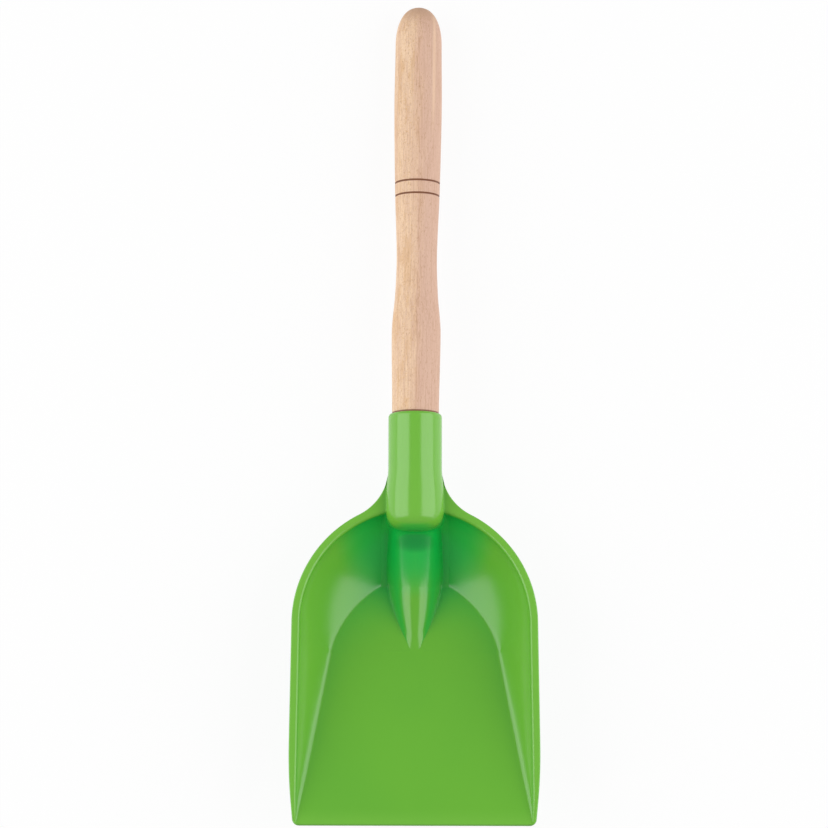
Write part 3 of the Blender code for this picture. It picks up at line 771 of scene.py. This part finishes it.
# The handle: turned from one stick of beech and sanded, with a blunt dome at its end, a slight belly
# for the hand, a waist, and a swell above the socket. Two grooves were burnt in on the lathe with a
# wire. It is pushed into the socket to its end and leans a trifle to one side.
SEAT_RADIUS = 0.0117
SEAT_GAP = 0.0003
SEAT_END_Y = NOSE_BACK_Y + BORE_END_WALL + SEAT_GAP
END_CHAMFER = 0.0010
TURNED_RUNS = (
    (0.0, SEAT_RADIUS),
    (0.0412, 0.01227),
    (0.0210, 0.01067),
    (0.0160, 0.01013),
    (0.0365, 0.01128),
    (0.0465, 0.01200),
    (0.0280, 0.01170),
)
DOME_LENGTH = 0.0204
DOME_BLUNTNESS = 2.3
GROOVE_SPACING = 0.0066
GROOVE_WIDTH = 0.0009
GROOVE_DEPTH = 0.0004
GROOVED_STATION = 4
GROOVE_POINTS = 17
GROOVE_REACH = 0.6
BODY_POINTS = 160
AROUND_HANDLE = 144
HANDLE_LEAN = math.radians(0.37)

stations_y = MOUTH_Y + np.cumsum([length for length, _ in TURNED_RUNS])
stations_radius = np.array([radius for _, radius in TURNED_RUNS])
grooved_y = stations_y[GROOVED_STATION]
grooves = grooved_y + GROOVE_SPACING * np.array([-0.5, 0.5])
seat_middle = (SEAT_END_Y + MOUTH_Y) / 2


def turned_radius(y):
    """Radius of the handle: cubic runs between the stations, flat at each widest and narrowest one."""
    lengths = np.diff(stations_y)
    slopes = np.diff(stations_radius) / lengths
    same_way = slopes[:-1] * slopes[1:] > 0
    harmonic = 2 * slopes[:-1] * slopes[1:] / np.where(same_way, slopes[:-1] + slopes[1:], 1)
    eased = np.concatenate([[0], np.where(same_way, harmonic, 0), [0]])
    left = np.clip(np.searchsorted(stations_y, y) - 1, 0, len(slopes) - 1)
    t = np.clip((y - stations_y[left]) / lengths[left], 0, 1)
    return (
        stations_radius[left] * (1 + 2 * t) * (1 - t) ** 2
        + stations_radius[left + 1] * (3 - 2 * t) * t**2
        + eased[left] * lengths[left] * t * (1 - t) ** 2
        - eased[left + 1] * lengths[left] * t**2 * (1 - t)
    )


def grooved(y):
    """How deep the burnt grooves are: a round bottom across each groove's width, nothing elsewhere."""
    apart = np.min(np.abs(y[:, None] - grooves), axis=1)
    return GROOVE_DEPTH * np.sqrt(np.clip(1 - (2 * apart / GROOVE_WIDTH) ** 2, 0, 1))


dome_tip = (stations_y[-1] + DOME_LENGTH, 0)
dome_y, dome_radius = quarter(dome_tip, (stations_y[-1], stations_radius[-1]), DOME_BLUNTNESS)
body_y = np.linspace(stations_y[-1], MOUTH_Y, BODY_POINTS)[1:]
over_groove = GROOVE_WIDTH * np.linspace(-GROOVE_REACH, GROOVE_REACH, GROOVE_POINTS)
groove_y = (grooves[:, None] + over_groove).ravel()
clear = np.min(np.abs(body_y[:, None] - grooves), axis=1) > GROOVE_WIDTH
body_y = np.sort(np.concatenate([body_y[clear], groove_y]))[::-1]
chamfer = np.array([[SEAT_END_Y + END_CHAMFER, SEAT_RADIUS], [SEAT_END_Y, SEAT_RADIUS - END_CHAMFER]])
handle = turned(
    "turned_handle",
    np.concatenate([dome_y, body_y, chamfer[:, 0], [SEAT_END_Y]]),
    np.concatenate([dome_radius, turned_radius(body_y) - grooved(body_y), chamfer[:, 1], [0.0]]),
    AROUND_HANDLE,
)
places = np.array([corner.co for corner in handle.data.vertices]) - (0, seat_middle, 0)
leaning_x = places[:, 0] * math.cos(HANDLE_LEAN) + places[:, 1] * math.sin(HANDLE_LEAN)
leaning_y = places[:, 1] * math.cos(HANDLE_LEAN) - places[:, 0] * math.sin(HANDLE_LEAN) + seat_middle
handle.data.vertices.foreach_set("co", np.column_stack([leaning_x, leaning_y, places[:, 2]]).ravel())
settle(handle, sharp_from=40)


# Light beech, yellowish on one side and pinkish on the other, with short flecks, fine fibres, one pale
# streak on the upper grip, and charred wood in the grooves. A painted shadow darkens the stick at the
# socket's mouth.
beech = Finish("beech", roughness=0.55, ior=1.5, specular_ior_level=0.35)
PALE_BEECH = linear(245, 212, 178)
PINK_BEECH = linear(222, 184, 162)
GOLDEN_BEECH = linear(226, 182, 132)
FLECK = linear(186, 138, 104)
TIP_BEECH = linear(205, 164, 132)
BURNT_AND_SHADOW_BROWN = linear(118, 66, 38)

# Limits between which each mask of the wood eases, and the share of its colour
HEART_LIMITS = (-0.0075, 0.0050)
GOLDEN_LIMITS, GOLDEN_SHARE = (0.48, 0.64), 0.6
BANDS_LIMITS, BANDS_SHARE = (0.42, 0.66), 0.5
STREAKED_LIMITS, STREAKED_SHARE = (0.48, 0.68), 0.28
RAYS_LIMITS, RAYS_SHARE = (0.50, 0.68), 0.6
FIBRES_LIMITS, FIBRES_SHARE = (0.46, 0.74), 0.38
FLECKS_LIMITS, FLECKS_SHARE = (0.55, 0.70), 0.75
RING_LIMITS, RING_SHARE = (0.0001, 0.0009), 0.4
BROKEN_LIMITS = (0.35, 0.60)
PALE_STREAK_LIMITS, PALE_STREAK_SHARE = (0.0003, 0.0012), 0.45
UPPER_GRIP_LIMITS = (0.020, 0.050)
CHARRED_LIMITS, CHARRED_SHARE = (0.40, 0.66), 0.9
SHADOW_AT_MOUTH_LIMITS, SHADOW_AT_MOUTH_SHARE = (0.0006, 0.0012), 0.85
TIP_FROM, TIP_SHARE = 0.4, 0.8

# Where the ring and the pale streak run, and how far the noises push the borders of the wood
RING_X = 0.0006
PALE_STREAK_X = 0.0076
BROAD_WANDER = 0.010
BANDS_WANDER = 0.004
GOLDEN_WANDER = 0.008
STREAK_WANDER = 0.003
CHAR_WANDER = 0.0003

# How much the fibres and the flecks roughen and raise the surface
FIBRES_ROUGHNESS = 0.2
LEAST_WOOD_ROUGHNESS = 0.45
FIBRES_HEIGHT = 0.6
FLECKS_HEIGHT = 0.4
grain = beech.node(
    "Mapping",
    {"vector_type": "TEXTURE"},
    Vector=drawn_place(beech),
    Location=(0, seat_middle, 0),
    Rotation=(0, 0, -HANDLE_LEAN),
)
along = beech.node("SeparateXYZ", output=1, Vector=grain)
across = beech.node("SeparateXYZ", output=0, Vector=grain)


def streaks(width, length, seed):
    """Noise drawn out along the grain, with marks about this wide and this long."""
    scale = (1 / width, 1 / length, 1 / width)
    stretched = beech.node("Mapping", Vector=grain, Scale=scale, Location=(seed, 0, 0))
    return beech.node("TexNoise", Vector=stretched, Scale=1.0, Detail=3.0, Roughness=0.6)


def about(noise, wander):
    """The noise about its middle of one half, times this much."""
    return (noise - 0.5) * wander


broad = streaks(width=0.006, length=0.120, seed=3.0)
bands = streaks(width=0.0012, length=0.060, seed=11.0)
fibres = streaks(width=0.00022, length=0.0120, seed=23.0)
flecks = streaks(width=0.00028, length=0.0018, seed=37.0)
golden = streaks(width=0.004, length=0.016, seed=51.0)
streaked = streaks(width=0.0007, length=0.0300, seed=83.0)
rays = streaks(width=0.0011, length=0.0007, seed=67.0)
heart = across + about(broad, BROAD_WANDER) + about(bands, BANDS_WANDER) + about(golden, GOLDEN_WANDER)
pinker = beech.step(heart, *HEART_LIMITS)
wood = beech.mix(pinker, PALE_BEECH, PINK_BEECH)
in_yellow = beech.step(golden, *GOLDEN_LIMITS) * (1 - pinker)
wood = beech.mix(in_yellow * GOLDEN_SHARE, wood, GOLDEN_BEECH)
wood = beech.mix(beech.step(bands, *BANDS_LIMITS) * BANDS_SHARE, wood, PINK_BEECH)
wood = beech.mix(beech.step(streaked, *STREAKED_LIMITS) * STREAKED_SHARE, wood, FLECK)
wood = beech.mix(beech.step(rays, *RAYS_LIMITS) * (1 - pinker) * RAYS_SHARE, wood, GOLDEN_BEECH)
wood = beech.mix(beech.step(fibres, *FIBRES_LIMITS) * FIBRES_SHARE, wood, FLECK)
wood = beech.mix(beech.step(flecks, *FLECKS_LIMITS) * FLECKS_SHARE, wood, FLECK)
ring = 1 - beech.step(abs(heart - RING_X), *RING_LIMITS)
wood = beech.mix(ring * beech.step(fibres, *BROKEN_LIMITS) * RING_SHARE, wood, FLECK)
off_streak = abs(across - PALE_STREAK_X + about(broad, STREAK_WANDER))
pale_streak = 1 - beech.step(off_streak, *PALE_STREAK_LIMITS)
upper_grip = beech.step(along - (grooved_y - seat_middle), *UPPER_GRIP_LIMITS)
wood = beech.mix(pale_streak * upper_grip * PALE_STREAK_SHARE, wood, PALE_BEECH)
tip_from, tip_to = (stations_y[-1] + part * DOME_LENGTH - seat_middle for part in (TIP_FROM, 1))
wood = beech.mix(beech.step(along, tip_from, tip_to) * TIP_SHARE, wood, TIP_BEECH)
from_groove = abs(abs(along - (grooved_y - seat_middle)) - GROOVE_SPACING / 2)
char_from, char_to = (GROOVE_WIDTH * limit for limit in CHARRED_LIMITS)
charred = 1 - beech.step(from_groove + about(fibres, CHAR_WANDER), char_from, char_to)
wood = beech.mix(charred * CHARRED_SHARE, wood, BURNT_AND_SHADOW_BROWN)
# Painted shadow: a dark line on the stick where it goes into the socket's mouth.
shadow_at_mouth = 1 - beech.step(along - (MOUTH_Y - seat_middle), *SHADOW_AT_MOUTH_LIMITS)
wood = beech.mix(shadow_at_mouth * SHADOW_AT_MOUTH_SHARE, wood, BURNT_AND_SHADOW_BROWN)
relief = fibres * FIBRES_HEIGHT + flecks * FLECKS_HEIGHT
pores = beech.node("Bump", Strength=0.25, Distance=0.0003, Height=relief)
worn = fibres * FIBRES_ROUGHNESS + LEAST_WOOD_ROUGHNESS
beech.feed(base_color=wood, roughness=worn, normal=pores)
handle.data.materials.append(beech.material)
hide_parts("handle")
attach(handle, "root")


# The fixing screw: a zinc-plated steel wood screw with a slotted round head. It goes up through the
# underside of the socket into the handle and keeps the two together.
SCREW_FROM_MOUTH = 0.0168
SHANK_RADIUS = 0.0014
SHANK_LENGTH = 0.0110
POINT_LENGTH = 0.0025
HEAD_RADIUS = 0.0028
HEAD_HEIGHT = 0.0018
HEAD_ROUNDING = 0.0006
SLOT_WIDTH = 0.0008
SLOT_DEPTH = 0.0007
SLOT_REACH = 1.5
SCREW_CLEARANCE = 0.0003
HEAD_POINTS = 9
AROUND_SCREW = 73
ZINC = linear(196, 198, 196)
DARKER_ZINC = linear(176, 180, 182)
SPANGLE_LIMITS = (0.35, 0.65)
SPANGLE_ROUGHNESS = 0.3
LEAST_ZINC_ROUGHNESS = 0.2

SCREW_Y = MOUTH_Y - SCREW_FROM_MOUTH
under_head = -(SOCKET_RADIUS + SCREW_CLEARANCE)
point_z = under_head + SHANK_LENGTH
head_low = under_head - HEAD_HEIGHT
edge = np.linspace(0, math.pi / 2, HEAD_POINTS)
screw_z = np.concatenate([
    [point_z, point_z - POINT_LENGTH, under_head, under_head],
    head_low + HEAD_ROUNDING * (1 - np.sin(edge)),
    [head_low],
])
screw_radius = np.concatenate([
    [0.0, SHANK_RADIUS, SHANK_RADIUS, HEAD_RADIUS],
    HEAD_RADIUS - HEAD_ROUNDING * (1 - np.cos(edge)),
    [0.0],
])
angle = np.linspace(0, 2 * math.pi, AROUND_SCREW)
round_x = screw_radius[:, None] * np.cos(angle)
round_y = screw_radius[:, None] * np.sin(angle) + SCREW_Y
round_z = np.repeat(screw_z[:, None], len(angle), axis=1)
screw = surface("slotted_screw", [np.stack([round_x, round_y, round_z], axis=-1)])

slot_half = np.array([SLOT_REACH * HEAD_RADIUS, SLOT_WIDTH / 2, SLOT_DEPTH])
slot_shape = bmesh.new()
bmesh.ops.create_cube(slot_shape, size=2)
slot_mesh = bpy.data.meshes.new("slot")
slot_shape.to_mesh(slot_mesh)
slot_shape.free()
slot_corners = np.array([corner.co for corner in slot_mesh.vertices]) * slot_half
slot_mesh.vertices.foreach_set("co", (slot_corners + (0, SCREW_Y, head_low)).ravel())
slot = bpy.data.objects.new("slot", slot_mesh)
bpy.context.scene.collection.objects.link(slot)
combine(screw, slot, "DIFFERENCE")
settle(screw, sharp_from=30)

zinc = Finish("zinc_steel", metallic=1.0, roughness=0.35)
spangle = zinc.node("TexNoise", Vector=zinc.place(), Scale=1800.0, Detail=3.0)
zinc_colour = zinc.mix(zinc.step(spangle, *SPANGLE_LIMITS), ZINC, DARKER_ZINC)
brushed = zinc.node("Bump", Strength=0.1, Distance=0.0001, Height=spangle)
dulled = spangle * SPANGLE_ROUGHNESS + LEAST_ZINC_ROUGHNESS
zinc.feed(base_color=zinc_colour, roughness=dulled, normal=brushed)
screw.data.materials.append(zinc.material)
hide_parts("fixing_screw")
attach(screw, "root")


# The studio: a plain white floor under the shovel, two broad softboxes to its left and right, and a
# dim even light from all round.
FLOOR_HALF = 3.0
floor_mesh = bpy.data.meshes.new("studio_floor")
floor_corners = [(-FLOOR_HALF, -FLOOR_HALF, 0), (FLOOR_HALF, -FLOOR_HALF, 0)]
floor_corners += [(FLOOR_HALF, FLOOR_HALF, 0), (-FLOOR_HALF, FLOOR_HALF, 0)]
floor_mesh.from_pydata(floor_corners, [], [(0, 1, 2, 3)])
floor = bpy.data.objects.new("studio_floor", floor_mesh)
bpy.context.scene.collection.objects.link(floor)


# Rays from the camera and from gloss see the floor as nearly white light, and all others as dull paint
FLOOR_GREY = 0.92
WHITE_SHARE = 0.92
floor_paint = bpy.data.materials.new("studio_floor")
floor_paint.use_nodes = True
tree = floor_paint.node_tree
tree.nodes.remove(tree.nodes["Principled BSDF"])
paint = tree.nodes.new("ShaderNodeBsdfDiffuse")
paint.inputs["Color"].default_value = (FLOOR_GREY, FLOOR_GREY, FLOOR_GREY, 1.0)
white = tree.nodes.new("ShaderNodeEmission")
path = tree.nodes.new("ShaderNodeLightPath")
seen = Field(path.outputs["Is Camera Ray"]) + Field(path.outputs["Is Glossy Ray"])
seen = seen + Field(path.outputs["Is Transmission Ray"])
chosen = tree.nodes.new("ShaderNodeMixShader")
tree.links.new((seen * WHITE_SHARE).socket, chosen.inputs[0])
tree.links.new(paint.outputs[0], chosen.inputs[1])
tree.links.new(white.outputs[0], chosen.inputs[2])
tree.links.new(chosen.outputs[0], tree.nodes["Material Output"].inputs["Surface"])
floor_mesh.materials.append(floor_paint)

FILL_STRENGTH = 0.28
world = bpy.data.worlds.new("studio")
world.use_nodes = True
bpy.context.scene.world = world
fill = world.node_tree.nodes["Background"]
fill.inputs["Color"].default_value = (1.0, 1.0, 1.0, 1.0)
fill.inputs["Strength"].default_value = FILL_STRENGTH

SOFTBOX_TURN = math.radians(54.0)
SOFTBOX_DISTANCE = 1.3
SOFTBOX_SIZE = (1.45, 1.7)
SOFTBOX_POWER = 15.1
for side in (-1, 1):
    light = bpy.data.lights.new("softbox", "AREA")
    light.shape = "RECTANGLE"
    light.size, light.size_y = SOFTBOX_SIZE
    light.energy = SOFTBOX_POWER
    softbox = bpy.data.objects.new("softbox", light)
    bpy.context.scene.collection.objects.link(softbox)
    way = np.array([side * math.sin(SOFTBOX_TURN), 0, math.cos(SOFTBOX_TURN)])
    softbox.location = SOFTBOX_DISTANCE * way
    softbox.rotation_euler.y = side * SOFTBOX_TURN
    softbox.visible_camera = False


# The camera stands where the photograph was taken from: 2 m away and a little towards the front edge,
# 9.6 degrees off the square view of the rim, a quarter of a millimetre aside and rolled by a trifle.
LOOK_AT_Y = 0.2052
CAMERA_TILT = math.radians(9.6)
CAMERA_DISTANCE = 2.0
CAMERA_ASIDE = 0.00025
CAMERA_ROLL = math.radians(0.12)
SENSOR = 36.0
MILLIMETRES_A_PIXEL = 0.5
PIXELS = 828

lens = bpy.data.cameras.new("camera")
lens.sensor_width = SENSOR
lens.lens = CAMERA_DISTANCE * 1000 * SENSOR / (PIXELS * MILLIMETRES_A_PIXEL)
camera = bpy.data.objects.new("camera", lens)
bpy.context.scene.collection.objects.link(camera)
off_square = np.array([0, -math.sin(CAMERA_TILT), math.cos(CAMERA_TILT)])
camera.location = laid(np.array([0, LOOK_AT_Y, 0]) + CAMERA_DISTANCE * off_square)
camera.location.x = -CAMERA_ASIDE
camera.rotation_euler = (CAMERA_TILT - TIP, 0, CAMERA_ROLL)
bpy.context.scene.camera = camera
bpy.context.scene.view_settings.view_transform = "Standard"
